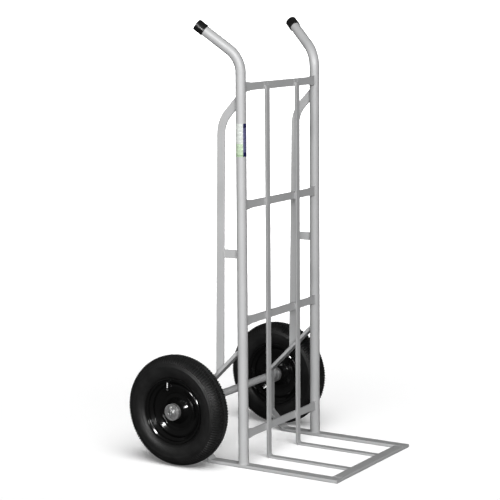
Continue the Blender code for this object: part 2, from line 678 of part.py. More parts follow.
def valve_ends(outwards):
    """The ends of the valve's stem: inside the inner tube, and in the open inside the rim."""
    casing = BEAD_SEAT - SHEET / 2 + CROWN
    return valve_point(casing + VALVE_FOOT, outwards), valve_point(RIM_WELL - VALVE_REACH, outwards)


def build_inner_tube(name, outwards, wheel):
    tube = add_piece("inner_tube_" + name, revolve(tube_section(0.0), WHEEL_SIDES), BUTYL, wheel)
    hollow = revolve(tube_section(INNER_TUBE_WALL), WHEEL_SIDES)
    combine(tube, add_cutter("cut_hollow_" + name, hollow, wheel), "DIFFERENCE")
    foot, tip = valve_ends(outwards)
    run = (foot - tip).normalized()
    hole = rod(foot + run * VALVE_DIAMETER, tip, VALVE_DIAMETER + 2 * GAP, PIN_SIDES)
    cutter = add_cutter("cut_valve_" + name, hole, wheel)
    combine(tube, cutter, "DIFFERENCE")
    return cutter


def build_valve(name, outwards, wheel):
    foot, tip = valve_ends(outwards)
    stem = rod(foot, tip, VALVE_DIAMETER, PIN_SIDES)
    add_piece("valve_stem_" + name, stem, BUTYL, wheel)
    run = (tip - foot).normalized()
    start = tip + run * GAP
    cap = rod(start, start + run * VALVE_CAP_LENGTH, VALVE_CAP_DIAMETER, PIN_SIDES)
    add_piece("valve_cap_" + name, cap, PLASTIC, wheel)


def mirrored(line, outwards):
    return [(outwards * x, radius) for x, radius in line]


def build_wheel(name, sign, root):
    """One wheel about its own empty. Its outboard side faces away from the truck's middle."""
    wheel = add_empty("wheel_%s_axis" % name, (sign * HALF_TRACK, AXLE_OFFSET, AXLE_HEIGHT), root)
    rim = add_piece("rim_" + name, revolve(strip_profile(rim_line(), SHEET), WHEEL_SIDES),
                    BLACK_STEEL, wheel)
    for place, outwards in (("outer", sign), ("inner", -sign)):
        disc = strip_profile(mirrored(disc_line(), outwards), SHEET)
        add_piece("wheel_disc_%s_%s" % (place, name), revolve(disc, WHEEL_SIDES), BLACK_STEEL, wheel)
    build_hub(name, wheel)
    build_tyre(name, wheel)
    combine(rim, build_inner_tube(name, sign, wheel), "DIFFERENCE")
    build_valve(name, sign, wheel)
    build_bearing(name, "outer", sign, wheel)
    build_bearing(name, "inner", -sign, wheel)


def main():
    clear_scene()
    back = AXLE_OFFSET + TYRE_RADIUS
    root = add_empty("hand_truck", (0.0, (TOE_LENGTH - back) / 2, 0.0))
    build_frame(root)
    build_axle(root)
    for name, sign in SIDES:
        build_wheel(name, sign, root)
    bpy.context.view_layer.update()


main()
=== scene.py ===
"""Looks of the hand truck: finer tube, wheels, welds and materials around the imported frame.

Metres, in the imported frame: the load side faces -Y, the axle lies along X and the floor is z = 0.
Flat bars and hidden bearing parts are the frame's own nodes. They get a material, and the bars a bevel.
"""
import json
import math

import bmesh
import bpy
from mathutils import Matrix, Vector


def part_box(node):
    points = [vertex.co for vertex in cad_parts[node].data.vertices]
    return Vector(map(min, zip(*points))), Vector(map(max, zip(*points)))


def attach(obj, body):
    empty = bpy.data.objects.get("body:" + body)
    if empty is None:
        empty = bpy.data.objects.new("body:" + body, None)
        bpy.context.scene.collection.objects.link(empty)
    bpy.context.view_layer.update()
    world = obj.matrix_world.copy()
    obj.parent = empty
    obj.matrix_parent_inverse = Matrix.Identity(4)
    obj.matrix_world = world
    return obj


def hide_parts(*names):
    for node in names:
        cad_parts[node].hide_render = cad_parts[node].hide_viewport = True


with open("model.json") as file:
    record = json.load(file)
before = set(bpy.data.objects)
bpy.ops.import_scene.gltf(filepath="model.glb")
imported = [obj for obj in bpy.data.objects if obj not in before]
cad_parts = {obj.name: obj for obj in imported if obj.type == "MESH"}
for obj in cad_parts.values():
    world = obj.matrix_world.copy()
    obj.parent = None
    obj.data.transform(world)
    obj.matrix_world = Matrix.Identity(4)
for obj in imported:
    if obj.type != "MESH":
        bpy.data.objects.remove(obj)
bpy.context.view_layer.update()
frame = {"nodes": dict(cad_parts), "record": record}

# Camera and lights
CAMERA_AZIMUTH = math.radians(-58.119)
CAMERA_ELEVATION = math.radians(8.657)
CAMERA_ROLL = math.radians(-0.424)
CAMERA_DISTANCE = 5.43315
CAMERA_PAN = (-0.093752, 0.644601)
LENS = 121.53
SENSOR_WIDTH = 36.0
VIEW_DEPTH = 200.0
SKY = 0.08
HORIZON = 0.25                # the sky brightens from this far below level to as far above, as a sine
SKY_FOOT = 0.45               # brightness at the lower edge, as a share of the upper one
GROUND_GLOW = 0.14            # under the truck
GLOW_RISE = (1.2, 5.0)        # the floor's glow grows to 1 between these distances
BOX_DISTANCE = 9.0
LIT_HEIGHT = 0.6              # height of the spot that the soft boxes face
# Soft boxes: name, direction from the truck, diameter and power
SOFT_BOXES = (("left_box", (-0.97, 0.02, 0.28), 1.2, 300.0),
              ("key_box", (-0.90, -0.45, 0.30), 3.2, 370.0),
              ("front_box", (-0.60, -0.80, 0.35), 1.8, 450.0))
WASH_DIRECTION = (0.50, 0.42, -1.0)
WASH_ANGLE = math.radians(52.0)
WASH_STRENGTH = 3.45
FLOOR_RADIUS = 14.0           # where the floor starts to turn up into the backdrop
COVE_RADIUS = 8.0             # of that turn

# Uprights and handles
TUBE_RADIUS = 0.016
TUBE_WALL = 0.002
BEND_HEIGHT = 1.262
BEND_RADIUS = 0.090
HANDLE_LENGTH = 0.163
HANDLE_RISE = math.radians(37.7)
HANDLE_SPLAY = math.radians(24.5)
CAP_LENGTH = 0.0315
CAP_WALL = 0.0018
CAP_FLOOR = 0.0040
CAP_EDGE = 0.0030             # rounding of the closed end
LIP_HEIGHT = 0.0003           # the skirt's lip stands this far out
LIP_STATIONS = (0.0022, 0.0016, 0.0004)    # from the skirt's edge: lip's start, crest and end
TUBE_SIDES = 48

# Tyre
TREAD_DEPTH = 0.0048
TREAD_BLOCKS = 120
TREAD_STEPS = 4               # mesh steps round each tread block
SECTION_POWER = 2.35          # 2 is an ellipse, and more is squarer
SECTION_HEIGHT = 0.0405
BEAD_RADIUS = 0.1046
BEAD_HALF_WIDTH = 0.0262
CASING = 0.0075
TREAD_HALF_WIDTH = 0.0386     # where the sidewall starts
RING_HEIGHT = 0.0007          # of the raised rings on the sidewall
RING_POINTS = (5, 6, 21)      # the sidewall points that the rings stand on
# How deep each kind of tread row is cut in a block's two halves, as a share of TREAD_DEPTH
TREAD_CUTS = {"rib": (0.0, 0.0), "groove": (1.0, 1.0), "block": (0.0, 0.60),
              "lug": (0.80, 0.0), "edge": (0.45, 0.0)}

# Wheel pressings, as in the frame
SHEET = 0.0022
RIM_LIP = 0.1024
BEAD_SEAT = 0.0946
RIM_WELL = 0.0860
RIM_HALF_WIDTH = 0.0322
RIM_BEND = 0.0014             # rounding of the rim's bends
DISC_BEND = 0.0022            # rounding of the disc's bends
WHEEL_SIDES = 128

# Hub, axle and valve
GAP = 0.0003
HUB_BORE = 0.0130             # radii from here to the axle's bore
SEAL_BORE = 0.0139
AXLE_BORE_RADIUS = 0.0065
POCKET_DEPTH = 0.0140         # of the bearing's seat in the hub's end
COTTER_DIAMETER = 0.0032
COTTER_EYE = 0.0034           # radius of the eye's middle line
COTTER_TAIL = 0.0068          # how far the bent leg reaches aside
COTTER_TAIL_RISE = 0.0032
COTTER_BEND = 0.0030
VALVE_SPLIT = 0.0925          # from the axle: between the stem's inner and outer end
VALVE_RIBS = 16
RIB_DEPTH = 0.06              # as a share of the cap's radius
RIBBED_RADIUS = 0.0036        # the cap is ribbed where it is wider than this
EDGE = 0.0006                 # rounding on turned and pressed parts

# Label
LABEL_START = math.radians(140.0)
LABEL_SWEEP = math.radians(215.0)
FILM = (0.0001, 0.0003)       # the film's inner and outer face, from the tube
LABEL_BAND = 0.895            # where the label's navy band starts, from its back edge to its front
LABEL_WHITE = (0.60, 0.63, 0.60)
LABEL_PALE_GREEN = (0.47, 0.58, 0.42)
LABEL_GREEN = (0.34, 0.47, 0.29)
LABEL_NAVY = (0.012, 0.012, 0.07)
LABEL_SLATE = (0.115, 0.115, 0.22)

# Welds
WELD_PITCH = 0.0030           # distance between a weld bead's ripples
WELD_RIPPLE = 0.10            # height of a ripple, as a share of the bead's radius
WELD_SIDES = 10
POST_WELD = 0.0026            # radii of the beads, as far as the slats'
UPRIGHT_WELD = 0.0020
CROSSBAR_WELD = 0.0020
BRACE_WELD = 0.0018
SPACER_WELD = 0.0016
SLAT_FOOT_WELD = 0.0014
TOE_WELD = 0.0011
SLAT_WELD = 0.0010
WELD_SINK = 0.0004            # how far the toe's seam lies below the rail's top
SEAM_INSET = 0.0020           # a seam stops this far short of an edge
END_INSET = 0.0010            # a bead stops this far below a bar's top end
SLAT_WELD_HALF = 0.0090       # half the length of a slat's bead
CROWN_WELD_HALF = 0.0120      # half the length of the bead over the diagonal's top end
BRACE_WELD_FOOT = 0.0380      # the brace's beads start this far below its top end
AXLE_WELD_RISE = 0.0085       # the axle tube's beads lie this far above and below its middle
AXLE_WELD_DEPTH = 0.0022      # and this far behind the post's back face
SLAT_FOOT_RISE = 0.0072       # height of the seam across a slat's foot, above its underside

X_AXIS = Vector((1.0, 0.0, 0.0))
Y_AXIS = Vector((0.0, 1.0, 0.0))
Z_AXIS = Vector((0.0, 0.0, 1.0))
SIDES = (("left", -1.0), ("right", 1.0))


# ---- Sizes read from the frame ----

def corners(node):
    low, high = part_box(node)
    return Vector(low), Vector(high)


def middle(node):
    low, high = corners(node)
    return (low + high) / 2


UPRIGHT_Y = corners("upright_left")[0].y + TUBE_RADIUS
UPRIGHT_X = middle("side_bar_right").x
RAIL_TOP = corners("toe_front_bar")[1].z
AXLE = middle("axle")
WHEEL_X = middle("tyre_right").x
TYRE_RADIUS = (corners("tyre_right")[1].z - corners("tyre_right")[0].z) / 2
TYRE_HALF_WIDTH = (corners("tyre_right")[1].x - corners("tyre_right")[0].x) / 2
HUB_RADIUS = (corners("hub_right")[1].z - corners("hub_right")[0].z) / 2
HUB_HALF = (corners("hub_right")[1].x - corners("hub_right")[0].x) / 2
SECTION_MIDDLE = TYRE_RADIUS - SECTION_HEIGHT


# ---- Mesh helpers ----

def place(name, mesh_data, material, body, nodes=(), angle=32.0):
    """Make a piece from a bmesh. It rides on a body, and may stand for frame nodes."""
    bmesh.ops.recalc_face_normals(mesh_data, faces=mesh_data.faces)
    mesh = bpy.data.meshes.new(name)
    mesh_data.to_mesh(mesh)
    mesh_data.free()
    mesh.shade_smooth()
    mesh.set_sharp_from_angle(angle=math.radians(angle))
    mesh.materials.append(material)
    piece = bpy.data.objects.new(name, mesh)
    bpy.context.scene.collection.objects.link(piece)
    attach(piece, body)
    if nodes:
        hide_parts(*nodes)
    return piece


def bridge(mesh_data, rings):
    for ring, following in zip(rings, rings[1:]):
        for i in range(len(ring)):
            j = (i + 1) % len(ring)
            mesh_data.faces.new((ring[i], ring[j], following[j], following[i]))


def circle(radius, sides):
    turns = [2.0 * math.pi * i / sides for i in range(sides)]
    return [(radius * math.cos(turn), radius * math.sin(turn)) for turn in turns]


def rounded_path(points, radii, step):
    """Points along straight runs joined by arcs: one radius for each inner corner."""
    path = [points[0]]
    for before, corner, after, radius in zip(points, points[1:], points[2:], radii):
        back = (before - corner).normalized()
        ahead = (after - corner).normalized()
        turn = math.pi - back.angle(ahead)
        centre = corner + (back + ahead).normalized() * (radius / math.cos(turn / 2))
        start = corner + back * (radius * math.tan(turn / 2)) - centre
        finish = corner + ahead * (radius * math.tan(turn / 2)) - centre
        across = (finish - start.normalized() * finish.dot(start.normalized())).normalized()
        count = max(2, math.ceil(turn / step))
        for i in range(count + 1):
            angle = turn * i / count
            path.append(centre + start * math.cos(angle) + across * (radius * math.sin(angle)))
    path.append(points[-1])
    return path


def sweep(mesh_data, path, side, sections):
    """Sweep along a path. side is square to its plane, and each point has its own section."""
    last = len(path) - 1
    rings = []
    for i, point in enumerate(path):
        before = path[max(i - 1, 0)]
        after = path[min(i + 1, last)]
        run = ((point - before).normalized() + (after - point).normalized()).normalized()
        across = side.cross(run).normalized()
        rings.append([mesh_data.verts.new(point + side * a + across * b) for a, b in sections[i]])
    bridge(mesh_data, rings)
    return rings


def tube_between(mesh_data, path, side, outer, inner, sides):
    """A pipe with a wall and open, square-cut ends."""
    outside = sweep(mesh_data, path, side, [circle(outer, sides)] * len(path))
    inside = sweep(mesh_data, path, side, [circle(inner, sides)] * len(path))
    bridge(mesh_data, [outside[0], inside[0]])
    bridge(mesh_data, [outside[-1], inside[-1]])


def rod(mesh_data, path, side, radii, sides):
    """A solid bar with flat ends, with its own radius at each point of the path."""
    rings = sweep(mesh_data, path, side, [circle(radius, sides) for radius in radii])
    mesh_data.faces.new(rings[0])
    mesh_data.faces.new(rings[-1])


def softened(profile, size, steps=3):
    """Round every corner of a closed outline by about the given size."""
    points = [Vector(point) for point in profile]
    result = []
    for i, corner in enumerate(points):
        before = points[i - 1]
        after = points[(i + 1) % len(points)]
        back = before - corner
        ahead = after - corner
        start = corner + back.normalized() * min(size, back.length * 0.45)
        finish = corner + ahead.normalized() * min(size, ahead.length * 0.45)
        for k in range(steps + 1):
            t = k / steps
            result.append(start * (1 - t) ** 2 + corner * 2 * t * (1 - t) + finish * t ** 2)
    return [(point.x, point.y) for point in result]


def lathe(mesh_data, outline, centre, sides):
    """Turn an outline of (x, radius) points about the line through centre along X."""
    rings = []
    for i in range(sides):
        turn = 2.0 * math.pi * i / sides
        direction = Vector((0.0, math.cos(turn), math.sin(turn)))
        rings.append([mesh_data.verts.new(centre + X_AXIS * x + direction * r) for x, r in outline])
    bridge(mesh_data, rings + rings[:1])
    bmesh.ops.remove_doubles(mesh_data, verts=mesh_data.verts, dist=1e-7)


def strip(line, thickness):
    """Closed outline of a bent sheet of even thickness, from the line through its middle."""
    left = []
    right = []
    points = [Vector(point) for point in line]
    for i, point in enumerate(points):
        before = points[max(i - 1, 0)]
        after = points[min(i + 1, len(points) - 1)]
        run = (after - before).normalized()
        offset = Vector((-run.y, run.x)) * thickness / 2
        left.append(tuple(point + offset))
        right.append(tuple(point - offset))
    return left + right[::-1]


def smooth_line(points, radius):
    """Round the corners of an open line of (x, radius) points."""
    flat = [Vector((x, r, 0.0)) for x, r in points]
    bent = rounded_path(flat, [radius] * (len(points) - 2), math.radians(9.0))
    return [(point.x, point.y) for point in bent]


# ---- Materials ----

def link(tree, source, output, target, socket):
    tree.links.new(source.outputs[output], target.inputs[socket])


def add_noise(tree, scale, detail, roughness=0.55):
    """Noise in object coordinates, so that its size is in metres and doesn't depend on UVs."""
    coordinates = tree.nodes.new("ShaderNodeTexCoord")
    noise = tree.nodes.new("ShaderNodeTexNoise")
    noise.inputs["Scale"].default_value = scale
    noise.inputs["Detail"].default_value = detail
    noise.inputs["Roughness"].default_value = roughness
    link(tree, coordinates, "Object", noise, "Vector")
    return noise


def add_ramp(tree, source, output, stops):
    ramp = tree.nodes.new("ShaderNodeValToRGB")
    elements = ramp.color_ramp.elements
    while len(elements) < len(stops):
        elements.new(0.5)
    for element, (position, colour) in zip(elements, stops):
        element.position = position
        element.color = (*colour, 1.0)
    link(tree, source, output, ramp, "Fac")
    return ramp


def add_range(tree, source, output, low, high):
    span = tree.nodes.new("ShaderNodeMapRange")
    span.inputs["From Min"].default_value = 0.3
    span.inputs["From Max"].default_value = 0.7
    span.inputs["To Min"].default_value = low
    span.inputs["To Max"].default_value = high
    link(tree, source, output, span, "Value")
    return span


def add_bump(tree, source, output, distance, strength, before=None):
    bump = tree.nodes.new("ShaderNodeBump")
    bump.inputs["Distance"].default_value = distance
    bump.inputs["Strength"].default_value = strength
    link(tree, source, output, bump, "Height")
    if before is not None:
        link(tree, before, "Normal", bump, "Normal")
    return bump


def add_mix(tree, mode, first, second, factor):
    """Blend two colour outputs, by a fixed amount or by another output."""
    mix = tree.nodes.new("ShaderNodeMix")
    mix.data_type = "RGBA"
    mix.blend_type = mode
    tree.links.new(first, mix.inputs["A"])
    tree.links.new(second, mix.inputs["B"])
    if isinstance(factor, float):
        mix.inputs["Factor"].default_value = factor
    else:
        tree.links.new(factor, mix.inputs["Factor"])
    return mix.outputs["Result"]


def new_material(name, metallic=0.0, specular=0.5, coat=0.0, coat_roughness=0.1):
    material = bpy.data.materials.new(name)
    material.use_nodes = True
    shader = material.node_tree.nodes["Principled BSDF"]
    shader.inputs["Metallic"].default_value = metallic
    shader.inputs["Specular IOR Level"].default_value = specular
    shader.inputs["Coat Weight"].default_value = coat
    shader.inputs["Coat Roughness"].default_value = coat_roughness
    return material, material.node_tree, shader


def surface(name, dark, light, patch, grain, roughness, relief, **shader_values):
    """A finish with two close colours in soft patches, uneven gloss and a fine grain."""
    material, tree, shader = new_material(name, **shader_values)
    patches = add_noise(tree, patch, 5.0)
    ramp = add_ramp(tree, patches, "Fac", ((0.35, dark), (0.65, light)))
    link(tree, ramp, "Color", shader, "Base Color")
    gloss = add_range(tree, add_noise(tree, patch * 3.0, 4.0), "Fac", *roughness)
    link(tree, gloss, "Result", shader, "Roughness")
    fine = add_bump(tree, add_noise(tree, grain, 3.0), "Fac", relief, 0.6)
    link(tree, fine, "Normal", shader, "Normal")
    return material


def grey(value, warmth=0.0):
    return (value * (1.0 + warmth), value, value * (1.0 - warmth))


def make_paint():
    """Silver-grey enamel: fine metallic speckle, faint orange peel and slightly uneven gloss."""
    material, tree, shader = new_material("silver_paint", metallic=0.10, specular=0.32,
                                          coat=0.05, coat_roughness=0.30)
    patches = add_noise(tree, 9.0, 4.0)
    base = add_ramp(tree, patches, "Fac", ((0.3, grey(0.455, -0.006)), (0.7, grey(0.495, -0.006))))
    flakes = add_noise(tree, 2600.0, 1.0)
    speckle = add_ramp(tree, flakes, "Fac", ((0.42, grey(0.92)), (0.62, grey(1.06))))
    colour = add_mix(tree, "MULTIPLY", base.outputs["Color"], speckle.outputs["Color"], 1.0)
    tree.links.new(colour, shader.inputs["Base Color"])
    gloss = add_range(tree, add_noise(tree, 38.0, 5.0), "Fac", 0.40, 0.52)
    link(tree, gloss, "Result", shader, "Roughness")
    peel = add_bump(tree, add_noise(tree, 420.0, 2.0), "Fac", 0.0002, 0.35)
    dust = add_bump(tree, flakes, "Fac", 0.00005, 0.25, peel)
    link(tree, dust, "Normal", shader, "Normal")
    return material


def add_fraction(tree, split, axis, start, end):
    """How far a point lies along an axis, from 0 at the start to 1 at the end."""
    span = tree.nodes.new("ShaderNodeMapRange")
    span.inputs["From Min"].default_value = start
    span.inputs["From Max"].default_value = end
    link(tree, split, axis, span, "Value")
    return span


def add_steps(tree, source, stops):
    """Plain bands of colour with hard edges."""
    ramp = add_ramp(tree, source, "Result", stops)
    ramp.color_ramp.interpolation = "CONSTANT"
    return ramp.outputs["Color"]


def add_rules(tree, coordinates):
    """Fine level lines, like rows of small print."""
    rules = tree.nodes.new("ShaderNodeTexWave")
    rules.bands_direction = "Z"
    rules.inputs["Scale"].default_value = 26.0
    rules.inputs["Distortion"].default_value = 0.0
    link(tree, coordinates, "Object", rules, "Vector")
    return add_ramp(tree, rules, "Fac", ((0.55, grey(1.0)), (0.75, grey(0.72)))).outputs["Color"]


def make_label():
    """A printed film: white and pale green panels, fine rules, and a navy band on one edge."""
    material, tree, shader = new_material("label_film", specular=0.5, coat=0.25)
    low, high = corners("label")
    coordinates = tree.nodes.new("ShaderNodeTexCoord")
    split = tree.nodes.new("ShaderNodeSeparateXYZ")
    link(tree, coordinates, "Object", split, "Vector")
    height = add_fraction(tree, split, "Z", low.z, high.z)
    depth = add_fraction(tree, split, "Y", high.y, low.y)
    panels = add_steps(tree, height, ((0.0, LABEL_GREEN), (0.06, LABEL_PALE_GREEN), (0.39, LABEL_WHITE)))
    blocks = add_steps(tree, height, ((0.0, LABEL_NAVY), (0.13, LABEL_SLATE), (0.87, LABEL_NAVY)))
    band = add_steps(tree, depth, ((0.0, grey(0.0)), (LABEL_BAND, grey(1.0))))
    rules = add_rules(tree, coordinates)
    panel_colour = add_mix(tree, "MULTIPLY", panels, rules, 0.35)
    block_colour = add_mix(tree, "MULTIPLY", blocks, rules, 0.5)
    printed = add_mix(tree, "MIX", panel_colour, block_colour, band)
    marks = add_ramp(tree, add_noise(tree, 300.0, 1.0), "Fac", ((0.56, grey(1.0)), (0.68, grey(1.5))))
    colour = add_mix(tree, "MULTIPLY", printed, marks.outputs["Color"], 1.0)
    tree.links.new(colour, shader.inputs["Base Color"])
    gloss = add_range(tree, add_noise(tree, 160.0, 3.0), "Fac", 0.22, 0.34)
    link(tree, gloss, "Result", shader, "Roughness")
    return material


def make_materials():
    return {
        "silver_paint": make_paint(),
        "zinc_plate": surface("zinc_plate", grey(0.34), grey(0.52), 120.0, 900.0, (0.34, 0.56),
                              0.0002, metallic=0.85),
        "black_enamel": surface("black_enamel", grey(0.0028), grey(0.0042), 14.0, 260.0,
                                (0.07, 0.12), 0.00008, specular=0.5),
        "tyre_rubber": surface("tyre_rubber", grey(0.0065), grey(0.0105), 22.0, 1300.0,
                               (0.37, 0.50), 0.0003, specular=0.32),
        "butyl_rubber": surface("butyl_rubber", grey(0.010), grey(0.018), 60.0, 1500.0,
                                (0.50, 0.62), 0.0002),
        "black_plastic": surface("black_plastic", grey(0.006), grey(0.010), 45.0, 1100.0,
                                 (0.22, 0.32), 0.0001, specular=0.45),
        "axle_steel": surface("axle_steel", grey(0.62), grey(0.78), 150.0, 1100.0, (0.24, 0.36),
                              0.0001, metallic=0.9),
        "bearing_steel": surface("bearing_steel", grey(0.50), grey(0.62), 200.0, 1600.0,
                                 (0.18, 0.30), 0.00005, metallic=1.0),
        "label_film": make_label(),
    }


# ---- Frame pieces ----

def handle_directions(sign):
    level = Vector((sign * math.sin(HANDLE_SPLAY), math.cos(HANDLE_SPLAY), 0.0))
    along = level * math.cos(HANDLE_RISE) + Z_AXIS * math.sin(HANDLE_RISE)
    return along, level.cross(Z_AXIS)


def build_upright(name, sign, materials):
    along, side = handle_directions(sign)
    foot = Vector((sign * UPRIGHT_X, UPRIGHT_Y, RAIL_TOP + GAP))
    bend = Vector((sign * UPRIGHT_X, UPRIGHT_Y, BEND_HEIGHT))
    tip = bend + along * HANDLE_LENGTH
    path = rounded_path([foot, bend, tip], [BEND_RADIUS], math.radians(3.0))
    mesh_data = bmesh.new()
    tube_between(mesh_data, path, side, TUBE_RADIUS, TUBE_RADIUS - TUBE_WALL, TUBE_SIDES)
    place("upright_tube_" + name, mesh_data, materials["silver_paint"], "frame",
          ["upright_" + name])
    build_cap(name, tip, along, side, materials)


def build_cap(name, tip, along, side, materials):
    """A moulded cup over the tube's end: flat end, rounded edge, thin skirt with a small lip."""
    inner = TUBE_RADIUS + GAP
    outer = inner + CAP_WALL
    end = CAP_FLOOR + GAP
    skirt = end - CAP_LENGTH
    turns = [math.radians(90.0) * i / 6 for i in range(7)]
    stations = [(end - CAP_EDGE + CAP_EDGE * math.cos(turn),
                 outer - CAP_EDGE + CAP_EDGE * math.sin(turn)) for turn in turns]
    lip_start, lip_crest, lip_end = LIP_STATIONS
    stations += [(skirt + lip_start, outer), (skirt + lip_crest, outer + LIP_HEIGHT),
                 (skirt + lip_end, outer + LIP_HEIGHT), (skirt, outer), (skirt, inner), (GAP, inner)]
    mesh_data = bmesh.new()
    across = side.cross(along)
    rings = []
    for x, radius in stations:
        point = tip + along * x
        rings.append([mesh_data.verts.new(point + side * a + across * b)
                      for a, b in circle(radius, TUBE_SIDES)])
    bridge(mesh_data, rings)
    mesh_data.faces.new(rings[0])
    mesh_data.faces.new(rings[-1])
    place("handle_cap_shell_" + name, mesh_data, materials["black_plastic"], "frame",
          ["handle_cap_" + name])


def ripple(i):
    """How much wider or narrower a bead is at a step, with four steps to a ripple."""
    return 1.0 + WELD_RIPPLE * math.sin(math.pi * i / 2)


def bead(mesh_data, start, end, side, radius):
    """A rippled weld bead on a straight line, sunk into the pieces that it joins."""
    length = (end - start).length
    count = max(6, round(length / WELD_PITCH * 4))
    path = [start.lerp(end, i / count) for i in range(count + 1)]
    radii = []
    for i in range(count + 1):
        taper = min(1.0, 0.35 + 4.0 * min(i, count - i) / count)
        radii.append(radius * taper * ripple(i))
    rod(mesh_data, path, side, radii, WELD_SIDES)


def ring_bead(mesh_data, centre, ring_radius, radius):
    """A weld bead all round a vertical tube."""
    count = round(2.0 * math.pi * ring_radius / WELD_PITCH) * 4
    rings = []
    for i in range(count):
        turn = 2.0 * math.pi * i / count
        outward = Vector((math.cos(turn), math.sin(turn), 0.0))
        size = radius * ripple(i)
        middle_point = centre + outward * ring_radius
        rings.append([mesh_data.verts.new(middle_point + outward * a + Z_AXIS * b)
                      for a, b in circle(size, WELD_SIDES)])
    bridge(mesh_data, rings + rings[:1])


def tube_depth(y):
    """How far from the upright's axis, along X, its surface is at a distance y along Y."""
    return math.sqrt(TUBE_RADIUS ** 2 - y ** 2)


def crossbar_welds(mesh_data, sign):
    """Beads up both faces of each crossbar's end, and down both edges of the slat in front of it."""
    slat_low, slat_high = corners("slat_right")
    for number in (1, 2, 3, 4):
        low, high = corners("crossbar_%d" % number)
        for y in (low.y, high.y):
            x = sign * (UPRIGHT_X - tube_depth(y - UPRIGHT_Y))
            bead(mesh_data, Vector((x, y, low.z)), Vector((x, y, high.z)), X_AXIS, CROSSBAR_WELD)
        for x in (slat_low.x, slat_high.x):
            spot = Vector((sign * x, low.y, (low.z + high.z) / 2))
            bead(mesh_data, spot - Z_AXIS * SLAT_WELD_HALF, spot + Z_AXIS * SLAT_WELD_HALF, X_AXIS,
                 SLAT_WELD)


def toe_welds(mesh_data, sign):
    """A seam from the side bar to the front bar, and one across the slat's foot."""
    slat_low, slat_high = corners("slat_right")
    front_low, front_high = corners("toe_front_bar")
    seam = Vector((sign * corners("side_bar_right")[0].x, front_low.y, RAIL_TOP - WELD_SINK))
    bead(mesh_data, seam + Y_AXIS * SEAM_INSET, seam + Y_AXIS * (front_high.y - front_low.y), X_AXIS,
         TOE_WELD)
    foot = Vector((0.0, front_high.y, slat_low.z + SLAT_FOOT_RISE))
    bead(mesh_data, foot + X_AXIS * sign * slat_low.x, foot + X_AXIS * sign * slat_high.x, Y_AXIS,
         SLAT_FOOT_WELD)


def brace_welds(mesh_data, sign):
    """Beads at the spacer's four upright edges, and up both faces of the brace's top end."""
    low, high = corners("brace_spacer_right")
    brace_low, brace_high = corners("brace_right")
    for x in (low.x, high.x):
        for y in (low.y, high.y):
            bead(mesh_data, Vector((sign * x, y, low.z)), Vector((sign * x, y, high.z)), X_AXIS,
                 SPACER_WELD)
        reach = Vector((sign * x, brace_low.y, brace_high.z))
        bead(mesh_data, reach - Z_AXIS * BRACE_WELD_FOOT, reach - Z_AXIS * END_INSET, X_AXIS,
             BRACE_WELD)


def post_welds(mesh_data, sign):
    """Beads above and below the axle tube on the post's back, and one over the diagonal's end."""
    low, high = corners("side_bar_right")
    for rise in (-AXLE_WELD_RISE, AXLE_WELD_RISE):
        line = Vector((0.0, high.y + AXLE_WELD_DEPTH, AXLE.z + rise))
        bead(mesh_data, line + X_AXIS * sign * (low.x + SEAM_INSET),
             line + X_AXIS * sign * (high.x - SEAM_INSET), Y_AXIS, POST_WELD)
    crown = Vector((0.0, UPRIGHT_Y + TUBE_RADIUS, high.z - END_INSET))
    bead(mesh_data, crown + X_AXIS * sign * (UPRIGHT_X - CROWN_WELD_HALF),
         crown + X_AXIS * sign * (UPRIGHT_X + CROWN_WELD_HALF), Y_AXIS, POST_WELD)


def build_welds(materials):
    mesh_data = bmesh.new()
    for _, sign in SIDES:
        foot = Vector((sign * UPRIGHT_X, UPRIGHT_Y, RAIL_TOP))
        ring_bead(mesh_data, foot, TUBE_RADIUS, UPRIGHT_WELD)
        crossbar_welds(mesh_data, sign)
        toe_welds(mesh_data, sign)
        brace_welds(mesh_data, sign)
        post_welds(mesh_data, sign)
    place("frame_welds", mesh_data, materials["silver_paint"], "frame", angle=60.0)


def build_label(materials):
    """The film, wrapped part of the way round the left upright."""
    low, high = corners("label")
    inner, outer = (TUBE_RADIUS + face for face in FILM)
    turns = [LABEL_START + LABEL_SWEEP * i / TUBE_SIDES for i in range(TUBE_SIDES + 1)]
    section = [(outer, turn) for turn in turns] + [(inner, turn) for turn in reversed(turns)]
    mesh_data = bmesh.new()
    rings = []
    for z in (low.z, high.z):
        rings.append([mesh_data.verts.new((-UPRIGHT_X + radius * math.sin(turn),
                                           UPRIGHT_Y + radius * math.cos(turn), z))
                      for radius, turn in section])
    bridge(mesh_data, rings)
    mesh_data.faces.new(rings[0])
    mesh_data.faces.new(rings[1])
    place("label_wrap", mesh_data, materials["label_film"], "frame", ["label"])


def dress_frame_nodes(materials):
    """Bars and hidden parts keep the frame's shape, with rounded edges and the real finish."""
    slots = {part["node"]: part["material_slot"] for part in frame["record"]["subparts"]}
    for name, node in frame["nodes"].items():
        node.data.materials.clear()
        node.data.materials.append(materials[slots[name]])
        if node.hide_render:
            continue
        if "custom_normal" in node.data.attributes:
            node.data.attributes.remove(node.data.attributes["custom_normal"])
        node.data.shade_smooth()
        weld = node.modifiers.new("join_corners", "WELD")
        weld.merge_threshold = 1e-5
        if name.startswith(("side_bar", "slat", "crossbar", "brace", "toe")):
            bevel = node.modifiers.new("rolled_edges", "BEVEL")
            bevel.width = EDGE
            bevel.segments = 2
            bevel.limit_method = "ANGLE"
            bevel.angle_limit = math.radians(30.0)
        normals = node.modifiers.new("flat_faces", "WEIGHTED_NORMAL")
        normals.weight = 80
        normals.keep_sharp = False


# ---- Axle ----

def turned(name, outline, centre, material, body, nodes, sides=64):
    mesh_data = bmesh.new()
    lathe(mesh_data, softened(outline, EDGE), centre, sides)
    place(name, mesh_data, material, body, nodes)


def ring_outline(low, high, inner, outer):
    return [(low, outer), (high, outer), (high, inner), (low, inner)]


